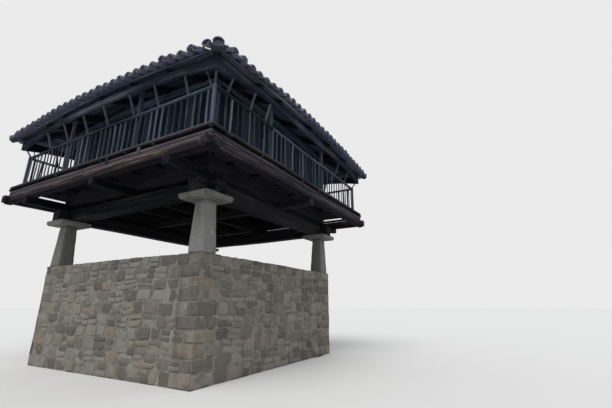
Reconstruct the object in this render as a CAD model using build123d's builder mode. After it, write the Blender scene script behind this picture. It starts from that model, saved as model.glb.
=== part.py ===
# A raised timber granary with a gallery on all four sides, on stone pillars over a
# rubble-stone ground storey, under a hipped roof of clay tiles.
# Millimetres, +Z up. The origin is on the ground, under the middle of the plan.
# The front looks along -Y and the right side along +X.
import math
import os
from build123d import *

os.makedirs("parts", exist_ok=True)

# Plan, measured out from the middle
body_half = 3050          # outer face of the timber body
gallery_width = 860       # from that face to the middle of the railing
floor_overhang = 230      # gallery floor beyond the middle of the railing
plate_lean = 220          # middle of the eaves plate beyond the middle of the railing
tile_overhang = 330       # tips of the eaves tiles beyond the middle of the plate
board_setback = 220       # roof boards stop this far inside the tile tips
ground_margin = 100       # masonry beyond the timber body

# Ground storey
ground_wall_height = 2700
ground_wall_thickness = 500
ground_door_width = 1100
ground_door_height = 1950
door_lintel_height = 220
door_lintel_bearing = 250

# Stone pillars and their capstones
pillar_height = 1230
pillar_foot = 460
pillar_head = 330
pillar_arris = 35         # worn edges
capstone_width = 900
capstone_height = 120
capstone_round = 70       # corners of the capstone in plan
capstone_chamfer = 45

# Timbers under the floor
main_beam_width = 340
main_beam_height = 340
main_beam_setback = 20    # beam ends behind the outer edge of the capstones
bearer_width = 200
bearer_height = 180
bearer_end = 15           # bearer ends beyond the outer face of the edge log
middle_bearer_place = 300
sill_width = 200
sill_height = 420
floor_beam_width = 160
log_width = 200
log_height = 200
log_seat = 20             # depth of the notch in each bearer that holds the log
log_end = 110             # log ends beyond the corner
log_outside = 10          # log face beyond the edge of the gallery floor
log_round = 30
fascia_thickness = 80
fascia_setback = 10       # fascia face behind the edge of the gallery floor
joist_width = 80
joist_height = 60
joist_end = 20            # joist ends beyond the fascia
joist_count = 6
floor_thickness = 40
edge_board_width = 60
edge_board_height = 40

# Railing
rail_height = 1070        # top of the handrail above the gallery floor
handrail_width = 90
handrail_height = 80
foot_rail_height = 60
baluster_width = 85
baluster_thickness = 30
baluster_pitch = 203
corner_post_width = 90
corner_post_head = 120    # corner posts rise this far above the handrail
stair_gap_width = 1000    # gap in the back railing at the head of the steps
# Distances along the railing from the near corner of each side
gallery_post_places = (2630, 5650)
front_strut_places = (95, 780, 1760, 2670, 3740, 4640, 5600, 6570)
right_strut_places = (375, 1190, 1810, 6140, 7000)

# Eaves and roof
strut_rise = 500          # from the top of the handrail to the underside of the plate
strut_thickness = 42
plate_width = 100
plate_height = 140
plate_droop = 110         # the ends of the plates hang this far below their middle
roof_slope = 0.5          # rise for each unit of run
eaves_droop = 225         # the corners of the eaves hang this far below their middle
eaves_folds = 6           # flat facets across each slope
roof_board_depth = 35     # this and the next depths are measured upright
tile_bed_depth = 50       # the hollows between the rows of tiles
tile_row_rise = 115       # the backs of the rows above those hollows
tile_row_foot = 215
tile_row_crown = 100
tile_row_pitch = 300
rafter_width = 90         # also the width of the gallery posts under the rafters
rafter_depth = 180
jack_rafter_line = 2600   # the short rafters near the hips, from the middle
hip_rafter_width = 160
hip_rafter_depth = 180
apex_block_radius = 130
apex_block_depth = 480
hip_tile_radius = 115
hip_tile_lift = 35        # height of the mortar that carries the hip tiles
apex_stone_radius = 230
apex_stone_height = 120
apex_stone_taper = 10     # degrees
apex_stone_bed = 70       # how far the stone reaches down around the top of the slopes
top_beam_width = 180
top_beam_height = 240
birdsmouth = 40           # depth of the rafter's seat on the top beam
plate_seat = 15           # depth of its seat on the plate

# Body walls
wall_thickness = 70
wall_recess = 20          # planks behind the face of the corner posts
wall_post_width = 180
door_width = 860
door_height = 1650
door_frame_width = 90
door_frame_depth = 110
door_leaf_thickness = 45

# Butt joints between pieces that share a node, and timbers under the roof boards
joint_gap = 2
seat_gap = 0.3
diagonal = math.sqrt(2)

# Plan lines
rail_line = body_half + gallery_width
floor_edge = rail_line + floor_overhang
plate_line = rail_line + plate_lean
eaves_half = plate_line + tile_overhang
board_half = eaves_half - board_setback
ground_half = body_half + ground_margin
main_beam_line = body_half - main_beam_width / 2
bearer_line = body_half - bearer_width / 2
sill_line = body_half - sill_width / 2
log_face = floor_edge + log_outside
log_line = log_face - log_width / 2
plate_inside = plate_line - plate_width / 2
plate_outside = plate_line + plate_width / 2
fascia_face = floor_edge - fascia_setback
fascia_line = fascia_face - fascia_thickness / 2
wall_face = body_half - wall_recess
wall_line = wall_face - wall_thickness / 2
wall_inside = wall_face - wall_thickness
wall_post_line = body_half - wall_post_width / 2
wall_run = body_half - wall_post_width
top_beam_line = body_half - top_beam_width / 2
bearer_tip = log_face + bearer_end
beam_reach = main_beam_line + capstone_width / 2 - main_beam_setback

# Levels
pillar_top = ground_wall_height + pillar_height
main_beam_base = pillar_top + capstone_height
bearer_base = main_beam_base + main_beam_height
bearer_top = bearer_base + bearer_height
sill_top = bearer_top + sill_height
log_base = bearer_top - log_seat
fascia_base = log_base + log_height
joist_base = sill_top - joist_height
floor_top = sill_top + floor_thickness
rail_top = floor_top + rail_height
corner_post_top = rail_top + corner_post_head
plate_base = rail_top + strut_rise
plate_top = plate_base + plate_height
apex_level = plate_top + rafter_depth - plate_seat + roof_slope * plate_line

# Each slope is folded along lines from the apex, so that the eaves bow down to the corners
fold_places = [2 * k / eaves_folds - 1 for k in range(eaves_folds + 1)]


def droop(x, h):
    """How far the roof hangs below its middle at x, on the line h from the centre."""
    along = (x / h + 1) * eaves_folds / 2
    low = min(int(along), eaves_folds - 1)
    part = along - low
    square = (1 - part) * fold_places[low]**2 + part * fold_places[low + 1]**2
    return eaves_droop * square * h / eaves_half


def roof_under(x, h):
    """Height of the underside of the roof boards at x, on the line h from the centre."""
    return apex_level - roof_slope * h - droop(x, h)


apex_under = roof_under(0, 1)
top_beam_top = roof_under(0, body_half) - rafter_depth + birdsmouth
wall_top = top_beam_top - top_beam_height
hip_inner = apex_block_radius / 2
slope_inner = 8


def slope_layer(lift, depth, outer, inner, gap):
    """One layer of the front slope: flat facets, side by side, each as deep as the layer."""
    def corner(u, h):
        x = u * h
        if abs(u) == 1:
            x -= u * gap / 2
        return Vector(x, -h, roof_under(x, h) + lift)

    with BuildPart() as layer:
        for left, right in zip(fold_places, fold_places[1:]):
            corners = (corner(left, outer), corner(right, outer), corner(right, inner), corner(left, inner))
            across = corners[1] - corners[0]
            facet_plane = Plane(corners[0], x_dir=across, z_dir=across.cross(corners[2] - corners[0]))
            with BuildSketch(facet_plane):
                with BuildLine():
                    Polyline(*[facet_plane.to_local_coords(p) for p in corners], close=True)
                make_face()
            extrude(amount=depth, dir=(0, 0, 1))
    return layer.part


def bowed_beam(base, top, sag, line, width, run, base_bowed):
    """A beam along X on the front side. Its top, or its whole depth, sags at both ends."""
    over = [(run * u, top - sag * u**2) for u in fold_places]
    if base_bowed:
        under = [(x, z - top + base) for x, z in over]
    else:
        under = [(-run, base), (run, base)]
    with BuildPart() as beam:
        with BuildSketch(Plane.XZ.offset(line - width / 2)):
            with BuildLine():
                Polyline(*over, *reversed(under), close=True)
            make_face()
        extrude(amount=width)
    return beam.part


def slab(x0, x1, y0, y1, z0, z1):
    """A plain squared piece between two corners."""
    with BuildPart() as piece:
        with BuildSketch(Plane.XY.offset(z0)):
            with Locations(((x0 + x1) / 2, (y0 + y1) / 2)):
                Rectangle(x1 - x0, y1 - y0)
        extrude(amount=z1 - z0)
    return piece.part


def finish(part, name):
    """Label a finished piece and write it."""
    part.label = name
    export_step(part, f"parts/{name}.step")


# Rubble-stone ground storey: the front and back run through, the sides stand between
ground_inside = ground_half - ground_wall_thickness
ground_jamb = ground_door_width / 2
lintel_top = ground_door_height + door_lintel_height

with BuildPart() as ground_wall_front:
    add(slab(-ground_half, ground_half, -ground_half, -ground_inside, 0, ground_wall_height))
finish(ground_wall_front.part, "ground_wall_front")

with BuildPart() as ground_wall_left:
    add(slab(-ground_half, -ground_inside, -ground_inside, ground_inside, 0, ground_wall_height))
finish(ground_wall_left.part, "ground_wall_left")

with BuildPart() as ground_wall_right:
    add(slab(ground_inside, ground_half, -ground_inside, ground_inside, 0, ground_wall_height))
finish(ground_wall_right.part, "ground_wall_right")

with BuildPart() as ground_door_lintel:
    reach = ground_jamb + door_lintel_bearing
    add(slab(-reach, reach, ground_inside, ground_half, ground_door_height, lintel_top))
finish(ground_door_lintel.part, "ground_door_lintel")

with BuildPart() as ground_wall_over_door:
    add(slab(-ground_jamb, ground_jamb, ground_inside, ground_half, lintel_top, ground_wall_height))
finish(ground_wall_over_door.part, "ground_wall_over_door")

with BuildPart() as ground_wall_back:
    add(slab(-ground_half, -ground_jamb, ground_inside, ground_half, 0, ground_wall_height))
    mirror(about=Plane.YZ)
    add(ground_door_lintel.part, mode=Mode.SUBTRACT)
finish(ground_wall_back.part, "ground_wall_back")

# Tapered pillars, one at each corner of the masonry, with a wide flat stone on each
pillar_taper = math.degrees(math.atan2((pillar_foot - pillar_head) / 2, pillar_height))

with BuildPart() as pillar:
    with BuildSketch(Plane.XY.offset(ground_wall_height)) as foot:
        Rectangle(pillar_foot, pillar_foot)
        chamfer(foot.vertices(), pillar_arris)
    extrude(amount=pillar_height, taper=pillar_taper)

with BuildPart() as stone_pillars:
    with GridLocations(2 * main_beam_line, 2 * main_beam_line, 2, 2):
        add(pillar.part)
finish(stone_pillars.part, "stone_pillars")

with BuildPart() as capstone:
    with BuildSketch(Plane.XY.offset(pillar_top)):
        RectangleRounded(capstone_width, capstone_width, capstone_round)
    extrude(amount=capstone_height)
    chamfer(capstone.faces().sort_by(Axis.Z)[0].outer_wire().edges(), capstone_chamfer)

with BuildPart() as capstones:
    with GridLocations(2 * main_beam_line, 2 * main_beam_line, 2, 2):
        add(capstone.part)
finish(capstones.part, "capstones")

# Main beams: a square frame, half lapped at the corners, with the ends run past.
# The front and back pair is cut away above at each lap, and the side pair below.
beam_lap = main_beam_base + main_beam_height / 2

with BuildPart() as main_beams_front_back:
    with GridLocations(0, 2 * main_beam_line, 1, 2):
        add(slab(-beam_reach, beam_reach, -main_beam_width / 2, main_beam_width / 2,
                 main_beam_base, bearer_base))
    with GridLocations(2 * main_beam_line, 2 * main_beam_line, 2, 2):
        add(slab(-main_beam_width / 2, main_beam_width / 2, -main_beam_width / 2, main_beam_width / 2,
                 beam_lap, bearer_base), mode=Mode.SUBTRACT)
finish(main_beams_front_back.part, "main_beams_front_back")

with BuildPart() as main_beams_sides:
    with GridLocations(2 * main_beam_line, 0, 2, 1):
        add(slab(-main_beam_width / 2, main_beam_width / 2, -beam_reach, beam_reach,
                 main_beam_base, bearer_base))
    with GridLocations(2 * main_beam_line, 2 * main_beam_line, 2, 2):
        add(slab(-main_beam_width / 2, main_beam_width / 2, -main_beam_width / 2, main_beam_width / 2,
                 main_beam_base, beam_lap), mode=Mode.SUBTRACT)
finish(main_beams_sides.part, "main_beams_sides")

# Edge logs: they carry the outside of the gallery and are lapped at its corners
log_reach = log_face + log_end
log_lap = log_base + log_height / 2

with BuildPart() as edge_log:
    add(slab(-log_reach, log_reach, -log_width / 2, log_width / 2, log_base, fascia_base))
    fillet(edge_log.edges().filter_by(Axis.X).sort_by(Axis.Z)[:2], log_round)

with BuildPart() as edge_log_lap:
    add(slab(-log_width / 2, log_width / 2, -log_width / 2, log_width / 2, log_base, log_lap))

with BuildPart() as edge_logs_front_back:
    with GridLocations(0, 2 * log_line, 1, 2):
        add(edge_log.part)
    with GridLocations(2 * log_line, 2 * log_line, 2, 2):
        add(edge_log_lap.part.moved(Location((0, 0, log_lap - log_base))), mode=Mode.SUBTRACT)
finish(edge_logs_front_back.part, "edge_logs_front_back")

with BuildPart() as edge_logs_sides:
    with Locations(Location((log_line, 0, 0), (0, 0, 90)), Location((-log_line, 0, 0), (0, 0, 90))):
        add(edge_log.part)
    with GridLocations(2 * log_line, 2 * log_line, 2, 2):
        add(edge_log_lap.part, mode=Mode.SUBTRACT)
finish(edge_logs_sides.part, "edge_logs_sides")

# Bearers lie over the main beams and run out under the edge logs. Three run from front
# to back, and one from side to side is lapped over them.
bearer_lap = bearer_base + bearer_height / 2
bearer_places = (-bearer_line, middle_bearer_place, bearer_line)

with BuildPart() as cross_bearers:
    for place in bearer_places:
        add(slab(place - bearer_width / 2, place + bearer_width / 2, -bearer_tip, bearer_tip,
                 bearer_base, bearer_top))
    for place in bearer_places:
        add(slab(place - bearer_width / 2, place + bearer_width / 2, -bearer_width / 2, bearer_width / 2,
                 bearer_lap, bearer_top), mode=Mode.SUBTRACT)
    for side in (-log_line, log_line):
        add(slab(-bearer_tip, bearer_tip, side - log_width / 2, side + log_width / 2,
                 log_base, bearer_top), mode=Mode.SUBTRACT)
finish(cross_bearers.part, "cross_bearers")

with BuildPart() as long_bearer:
    add(slab(-bearer_tip, bearer_tip, -bearer_width / 2, bearer_width / 2, bearer_base, bearer_top))
    for place in bearer_places:
        add(slab(place - bearer_width / 2, place + bearer_width / 2, -bearer_width / 2, bearer_width / 2,
                 bearer_base, bearer_lap), mode=Mode.SUBTRACT)
    for side in (-log_line, log_line):
        add(slab(side - log_width / 2, side + log_width / 2, -bearer_width / 2, bearer_width / 2,
                 log_base, bearer_top), mode=Mode.SUBTRACT)
finish(long_bearer.part, "long_bearer")

# Sills carry the body walls, and floor beams lie between them on the bearers
sill_inside = body_half - sill_width

with BuildPart() as floor_sills:
    with GridLocations(0, 2 * sill_line, 1, 2):
        add(slab(-body_half, body_half, -sill_width / 2, sill_width / 2, bearer_top, sill_top))
    with GridLocations(2 * sill_line, 0, 2, 1):
        add(slab(-sill_width / 2, sill_width / 2, -sill_inside + joint_gap, sill_inside - joint_gap,
                 bearer_top, sill_top))
finish(floor_sills.part, "floor_sills")

with BuildPart() as floor_beams:
    for place in (-sill_inside / 2, 0, sill_inside / 2):
        add(slab(place - floor_beam_width / 2, place + floor_beam_width / 2, -sill_inside, sill_inside,
                 bearer_top, sill_top))
finish(floor_beams.part, "floor_beams")

# Body posts, floor and plank walls
with BuildPart() as wall_corner_posts:
    with BuildSketch(Plane.XY.offset(sill_top)):
        with GridLocations(2 * wall_post_line, 2 * wall_post_line, 2, 2):
            Rectangle(wall_post_width, wall_post_width)
    extrude(amount=wall_top - sill_top)
finish(wall_corner_posts.part, "wall_corner_posts")

with BuildPart() as granary_floor:
    with BuildSketch(Plane.XY.offset(sill_top)):
        Rectangle(2 * wall_inside, 2 * wall_inside)
        with GridLocations(2 * wall_post_line, 2 * wall_post_line, 2, 2):
            Rectangle(wall_post_width, wall_post_width, mode=Mode.SUBTRACT)
    extrude(amount=floor_thickness)
finish(granary_floor.part, "granary_floor")

door_opening = door_width / 2 + door_frame_width
door_clear_top = floor_top + door_height
door_frame_top = door_clear_top + door_frame_width

with BuildPart() as wall_front:
    add(slab(-wall_run, wall_run, -wall_face, -wall_inside, sill_top, wall_top))
finish(wall_front.part, "wall_front")

with BuildPart() as wall_left:
    add(slab(-wall_face, -wall_inside, -wall_run, wall_run, sill_top, wall_top))
finish(wall_left.part, "wall_left")

with BuildPart() as wall_right:
    add(slab(wall_inside, wall_face, -wall_run, wall_run, sill_top, wall_top))
finish(wall_right.part, "wall_right")

with BuildPart() as wall_back:
    add(slab(-wall_run, -door_opening, wall_inside, wall_face, sill_top, wall_top))
    mirror(about=Plane.YZ)
finish(wall_back.part, "wall_back")

with BuildPart() as wall_over_door:
    add(slab(-door_opening, door_opening, wall_inside, wall_face, door_frame_top, wall_top))
finish(wall_over_door.part, "wall_over_door")

frame_outside = wall_line + door_frame_depth / 2
frame_inside = wall_line - door_frame_depth / 2

with BuildPart() as door_posts:
    add(slab(-door_opening, -door_width / 2, frame_inside, frame_outside, floor_top, door_clear_top))
    mirror(about=Plane.YZ)
finish(door_posts.part, "door_posts")

with BuildPart() as door_head:
    add(slab(-door_opening, door_opening, frame_inside, frame_outside, door_clear_top, door_frame_top))
finish(door_head.part, "door_head")

with BuildPart() as door_leaf:
    add(slab(-door_width / 2, door_width / 2, wall_line - door_leaf_thickness / 2,
             wall_line + door_leaf_thickness / 2, floor_top, door_clear_top))
finish(door_leaf.part, "door_leaf")

# Gallery: fascia boards on the logs, joists over them, floor, edge boards and railing
fascia_run = fascia_face - fascia_thickness - joint_gap

with BuildPart() as fascia_boards:
    with GridLocations(0, 2 * fascia_line, 1, 2):
        add(slab(-fascia_face, fascia_face, -fascia_thickness / 2, fascia_thickness / 2,
                 fascia_base, joist_base))
    with GridLocations(2 * fascia_line, 0, 2, 1):
        add(slab(-fascia_thickness / 2, fascia_thickness / 2, -fascia_run, fascia_run,
                 fascia_base, joist_base))
finish(fascia_boards.part, "fascia_boards")

joist_tip = fascia_face + joist_end
joist_pitch = 2 * sill_line / joist_count

with BuildPart() as front_joists:
    with BuildSketch(Plane.XY.offset(joist_base)):
        with Locations((0, -(joist_tip + body_half) / 2)):
            with GridLocations(joist_pitch, 1, joist_count, 1):
                Rectangle(joist_width, joist_tip - body_half)
    extrude(amount=joist_height)

# The corner joist runs on the diagonal, and its inner end is cut to fit over the sills
with BuildPart() as corner_joist:
    with BuildSketch(Plane.XY.offset(joist_base)):
        with Locations(Location((0, 0), -45)):
            with Locations(((body_half + fascia_face) / diagonal, 0)):
                Rectangle((fascia_face - body_half) * diagonal + joist_width, joist_width)
        Rectangle(2 * body_half, 2 * body_half, mode=Mode.SUBTRACT)
        Rectangle(2 * joist_tip, 2 * joist_tip, mode=Mode.INTERSECT)
    extrude(amount=joist_height)

with BuildPart() as gallery_joists:
    with PolarLocations(0, 4):
        add(front_joists.part)
        add(corner_joist.part)
finish(gallery_joists.part, "gallery_joists")

gallery_inner = wall_face

with BuildPart() as gallery_floor:
    with GridLocations(0, floor_edge + gallery_inner, 1, 2):
        add(slab(-floor_edge, floor_edge, -(floor_edge - gallery_inner) / 2,
                 (floor_edge - gallery_inner) / 2, sill_top, floor_top))
    with GridLocations(floor_edge + gallery_inner, 0, 2, 1):
        add(slab(-(floor_edge - gallery_inner) / 2, (floor_edge - gallery_inner) / 2,
                 -gallery_inner + joint_gap, gallery_inner - joint_gap, sill_top, floor_top))
    add(wall_corner_posts.part, mode=Mode.SUBTRACT)
finish(gallery_floor.part, "gallery_floor")

edge_board_line = floor_edge - edge_board_width / 2
edge_board_run = floor_edge - edge_board_width - joint_gap

with BuildPart() as gallery_edge_boards:
    with GridLocations(0, 2 * edge_board_line, 1, 2):
        add(slab(-floor_edge, floor_edge, -edge_board_width / 2, edge_board_width / 2,
                 floor_top, floor_top + edge_board_height))
    with GridLocations(2 * edge_board_line, 0, 2, 1):
        add(slab(-edge_board_width / 2, edge_board_width / 2, -edge_board_run, edge_board_run,
                 floor_top, floor_top + edge_board_height))
finish(gallery_edge_boards.part, "gallery_edge_boards")


def railing_panel(x0, x1):
    """A length of front railing between two upright ends: foot rail, balusters and handrail."""
    handrail_base = rail_top - handrail_height
    middle = (x0 + x1) / 2
    count = int((x1 - x0) / baluster_pitch)
    with BuildPart() as panel:
        for base, height in ((floor_top, foot_rail_height), (handrail_base, handrail_height)):
            with BuildSketch(Plane.XY.offset(base)):
                with Locations((middle, -rail_line)):
                    Rectangle(x1 - x0, handrail_width)
            extrude(amount=height)
        with BuildSketch(Plane.XY.offset(floor_top + foot_rail_height)):
            with Locations((middle, -rail_line)):
                with GridLocations(baluster_pitch, 1, count, 1):
                    Rectangle(baluster_width, baluster_thickness)
        extrude(amount=handrail_base - floor_top - foot_rail_height)
    return panel.part


rail_run = rail_line - corner_post_width / 2

with BuildPart() as railing_front:
    add(railing_panel(-rail_run, rail_run))
finish(railing_front.part, "railing_front")

with BuildPart() as railing_right:
    add(railing_front.part.rotate(Axis.Z, 90))
finish(railing_right.part, "railing_right")

with BuildPart() as railing_left:
    add(railing_front.part.rotate(Axis.Z, -90))
finish(railing_left.part, "railing_left")

with BuildPart() as railing_back:
    add(railing_panel(stair_gap_width / 2, rail_run).rotate(Axis.Z, 180))
    mirror(about=Plane.YZ)
finish(railing_back.part, "railing_back")

# Roof framing. A deep private layer under the boards trims the tops of the timbers.
trim_depth = apex_under - floor_top
front_trim = slope_layer(-trim_depth - seat_gap, trim_depth, eaves_half, slope_inner, 0)

with BuildPart() as under_roof:
    with PolarLocations(0, 4):
        add(front_trim)

# Eaves plates: bowed beams on the struts. Near the corners the roof boards come down on them
with BuildPart() as front_plate:
    add(bowed_beam(plate_base, plate_top, plate_droop, plate_line, plate_width, plate_outside, True))
    add(under_roof.part, mode=Mode.INTERSECT)

with BuildPart() as side_plate:
    add(front_plate.part)
    with BuildSketch():
        Rectangle(2 * (plate_inside - joint_gap), 2 * eaves_half)
    extrude(amount=apex_under, mode=Mode.INTERSECT)

with BuildPart() as eaves_plates:
    with PolarLocations(0, 2):
        add(front_plate.part)
    with PolarLocations(0, 2, start_angle=90):
        add(side_plate.part)
finish(eaves_plates.part, "eaves_plates")

# Top beams: level below, bowed above, at the head of the body walls
with BuildPart() as front_top_beam:
    add(bowed_beam(wall_top, top_beam_top, droop(body_half, body_half), top_beam_line, top_beam_width,
                   body_half, False))

with BuildPart() as side_top_beam:
    add(front_top_beam.part)
    with BuildSketch():
        Rectangle(2 * (wall_run - joint_gap), 2 * eaves_half)
    extrude(amount=apex_under, mode=Mode.INTERSECT)

with BuildPart() as top_beams:
    with PolarLocations(0, 2):
        add(front_top_beam.part)
    with PolarLocations(0, 2, start_angle=90):
        add(side_top_beam.part)
finish(top_beams.part, "top_beams")

# Eight-sided block that the hip rafters meet at the top
with BuildPart() as apex_block:
    with BuildSketch(Plane.XY.offset(apex_under - apex_block_depth)):
        RegularPolygon(apex_block_radius, 8, major_radius=False, rotation=22.5)
    extrude(amount=apex_block_depth + slope_inner)
    add(under_roof.part, mode=Mode.INTERSECT)
finish(apex_block.part, "apex_block")

# Hip rafters run down the diagonals from that block, and lap over the corners of the plates
with BuildPart() as hip_rafter:
    hip_plane = Plane(origin=(0, 0, 0), x_dir=(1, -1, 0), z_dir=(-1, -1, 0))
    with BuildSketch(hip_plane):
        with BuildLine():
            low = roof_under(plate_line, plate_line)
            high = roof_under(hip_inner, hip_inner)
            Polyline((hip_inner * diagonal, high - hip_rafter_depth),
                     (plate_line * diagonal, low - hip_rafter_depth),
                     (plate_line * diagonal, low + hip_rafter_depth),
                     (hip_inner * diagonal, high + hip_rafter_depth),
                     close=True)
        make_face()
    extrude(amount=hip_rafter_width / 2, both=True)
    add(under_roof.part, mode=Mode.INTERSECT)
    add(apex_block.part, mode=Mode.SUBTRACT)
    with PolarLocations(0, 4):
        add(front_top_beam.part, mode=Mode.SUBTRACT)
        add(front_plate.part, mode=Mode.SUBTRACT)

with BuildPart() as hip_rafters:
    with PolarLocations(0, 4):
        add(hip_rafter.part)
finish(hip_rafters.part, "hip_rafters")

# Common rafters: cut against the hips above, and seated on the top beams and the plates
post_lines = [rail_line - place for place in gallery_post_places]
rafter_places = (-jack_rafter_line, 0, jack_rafter_line, *post_lines)

with BuildPart() as front_rafters:
    for place in rafter_places:
        head = max(abs(place), apex_block_radius / 2)
        foot_under = roof_under(place, plate_outside) - rafter_depth
        head_under = roof_under(place, head) - rafter_depth
        with BuildSketch(Plane.YZ.offset(place)):
            with BuildLine():
                Polyline((-head, head_under), (-plate_outside, foot_under),
                         (-plate_outside, foot_under + 2 * rafter_depth),
                         (-head, head_under + 2 * rafter_depth), close=True)
            make_face()
        extrude(amount=rafter_width / 2, both=True)
    add(front_trim, mode=Mode.INTERSECT)
    add(hip_rafters.part, mode=Mode.SUBTRACT)
    add(apex_block.part, mode=Mode.SUBTRACT)
    add(top_beams.part, mode=Mode.SUBTRACT)
    add(front_plate.part, mode=Mode.SUBTRACT)

with BuildPart() as common_rafters:
    with PolarLocations(0, 4):
        add(front_rafters.part)
finish(common_rafters.part, "common_rafters")

# Thin struts lean out from the handrail to the plate
def side_struts(places):
    """Struts of the front side, at distances from its right-hand corner."""
    with BuildPart() as struts:
        for place in places:
            x = rail_line - place
            head = plate_base - plate_droop * (x / plate_line)**2 + strut_thickness / 2
            half = strut_thickness / 2
            with BuildSketch(Plane.YZ.offset(x)):
                with BuildLine():
                    Polyline((-rail_line + half, rail_top), (-rail_line - half, rail_top),
                             (-plate_line - half, head), (-plate_line + half, head), close=True)
                make_face()
            extrude(amount=half, both=True)
        add(eaves_plates.part, mode=Mode.SUBTRACT)
    return struts.part


back_strut_places = tuple(p for p in front_strut_places if abs(rail_line - p) > stair_gap_width / 2)

# The corner strut leans out from the head of the corner post to the corner of the plates
with BuildPart() as corner_strut:
    with BuildSketch(hip_plane):
        with BuildLine():
            strut_foot = rail_line * diagonal
            strut_head = plate_line * diagonal
            half = strut_thickness / 2
            Polyline((strut_foot - half, corner_post_top), (strut_foot + half, corner_post_top),
                     (strut_head + half, plate_base), (strut_head - half, plate_base), close=True)
        make_face()
    extrude(amount=half, both=True)
    with PolarLocations(0, 4):
        add(front_plate.part, mode=Mode.SUBTRACT)

with BuildPart() as eaves_struts:
    with PolarLocations(0, 4):
        add(corner_strut.part)
    add(side_struts(front_strut_places))
    add(side_struts(tuple(2 * rail_line - p for p in right_strut_places)).rotate(Axis.Z, 90))
    add(side_struts(back_strut_places).rotate(Axis.Z, 180))
    add(side_struts(front_strut_places).rotate(Axis.Z, 270))
finish(eaves_struts.part, "eaves_struts")

# Gallery posts: a short one at each corner of the railing, and two just inside each
# railing, each under a common rafter
gallery_post_line = rail_line - handrail_width / 2 - rafter_width / 2

with BuildPart() as gallery_posts:
    with BuildSketch(Plane.XY.offset(floor_top)):
        for quarter in range(4):
            with Locations(Location((0, 0), 90 * quarter)):
                with Locations(*[(x, -gallery_post_line) for x in post_lines]):
                    Rectangle(rafter_width, rafter_width)
    extrude(amount=apex_under - floor_top)
    add(under_roof.part, mode=Mode.INTERSECT)
    add(common_rafters.part, mode=Mode.SUBTRACT)
    with BuildSketch(Plane.XY.offset(floor_top)):
        with GridLocations(2 * rail_line, 2 * rail_line, 2, 2):
            Rectangle(corner_post_width, corner_post_width)
    extrude(amount=corner_post_top - floor_top)
finish(gallery_posts.part, "gallery_posts")

# Roof boards
front_boards = slope_layer(0, roof_board_depth, board_half, slope_inner, joint_gap)

with BuildPart() as roof_boards:
    with PolarLocations(0, 4):
        add(front_boards)
finish(roof_boards.part, "roof_boards")

# Tiles: rows run straight up each slope on a bed, and stop at the sides of the hip tiles
bed_top = roof_board_depth + tile_bed_depth
row_hip_setback = hip_tile_radius * diagonal + joint_gap
row_head = apex_stone_radius + joint_gap
rows_each_side = int(eaves_half / tile_row_pitch)


def facet_rows(left, right):
    """The rows of tiles on one flat facet of the front slope, between two of its folds."""
    left_foot = roof_under(left * eaves_half, eaves_half)
    right_foot = roof_under(right * eaves_half, eaves_half)
    tilt = (right_foot - left_foot) / (right - left) / eaves_half
    downhill = Vector(0, -eaves_half, left_foot - tilt * left * eaves_half - apex_level)

    def section_point(x, rise):
        """A point of the rows' section, where the facet's plane passes the middle of the plan."""
        return (x, apex_level + tilt * x + bed_top + rise)

    with BuildPart() as rows:
        with BuildSketch(Plane.XZ):
            for row in range(-rows_each_side, rows_each_side + 1):
                middle = row * tile_row_pitch
                with BuildLine():
                    Polyline(section_point(middle - tile_row_foot / 2, 0),
                             section_point(middle - tile_row_crown / 2, tile_row_rise),
                             section_point(middle + tile_row_crown / 2, tile_row_rise),
                             section_point(middle + tile_row_foot / 2, 0), close=True)
                make_face()
        extrude(amount=downhill.length, dir=downhill)
        with BuildSketch():
            with BuildLine():
                Polyline((left * row_head, -row_head), (left * eaves_half, -eaves_half),
                         (right * eaves_half, -eaves_half), (right * row_head, -row_head), close=True)
            make_face()
            with BuildLine():
                Polyline((0, -row_hip_setback), (row_hip_setback - eaves_half, -eaves_half),
                         (eaves_half - row_hip_setback, -eaves_half), close=True)
            make_face(mode=Mode.INTERSECT)
        extrude(amount=apex_level + bed_top + tile_row_rise, mode=Mode.INTERSECT)
    return rows.part


with BuildPart() as front_tiles:
    add(slope_layer(roof_board_depth, tile_bed_depth, eaves_half, slope_inner, joint_gap))
    for left, right in zip(fold_places, fold_places[1:]):
        add(facet_rows(left, right))

with BuildPart() as roof_tiles:
    with PolarLocations(0, 4):
        add(front_tiles.part)
finish(roof_tiles.part, "roof_tiles")

# Half-round tiles on mortar over the hips, and a tapered stone bedded over the top
apex_top = apex_under + bed_top
solid_slope = slope_layer(-trim_depth, trim_depth + bed_top, eaves_half, slope_inner, 0)

with BuildPart() as hip_tile:
    start = apex_stone_radius / diagonal
    head_point = Vector(start, -start, roof_under(start, start) + bed_top)
    foot_point = Vector(eaves_half, -eaves_half, roof_under(eaves_half, eaves_half) + bed_top)
    run = foot_point - head_point
    with BuildSketch(Plane(origin=head_point, x_dir=(1, 1, 0), z_dir=run)):
        with Locations((0, hip_tile_lift)):
            Circle(hip_tile_radius)
        with Locations((0, (hip_tile_lift - hip_tile_radius) / 2)):
            Rectangle(2 * hip_tile_radius, hip_tile_lift + hip_tile_radius)
    extrude(amount=run.length)
    for turn in (0, 90):
        add(solid_slope.rotate(Axis.Z, turn), mode=Mode.SUBTRACT)
    with BuildSketch():
        Rectangle(2 * eaves_half, 2 * eaves_half)
    extrude(amount=apex_top + apex_stone_height, mode=Mode.INTERSECT)

with BuildPart() as hip_tiles:
    with PolarLocations(0, 4):
        add(hip_tile.part)
finish(hip_tiles.part, "hip_tiles")

with BuildPart() as apex_stone:
    with BuildSketch(Plane.XY.offset(apex_top - apex_stone_bed)):
        Circle(apex_stone_radius)
    extrude(amount=apex_stone_bed + apex_stone_height, taper=apex_stone_taper)
    with PolarLocations(0, 4):
        add(solid_slope, mode=Mode.SUBTRACT)
    add(hip_tiles.part, mode=Mode.SUBTRACT)
finish(apex_stone.part, "apex_stone")
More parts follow.
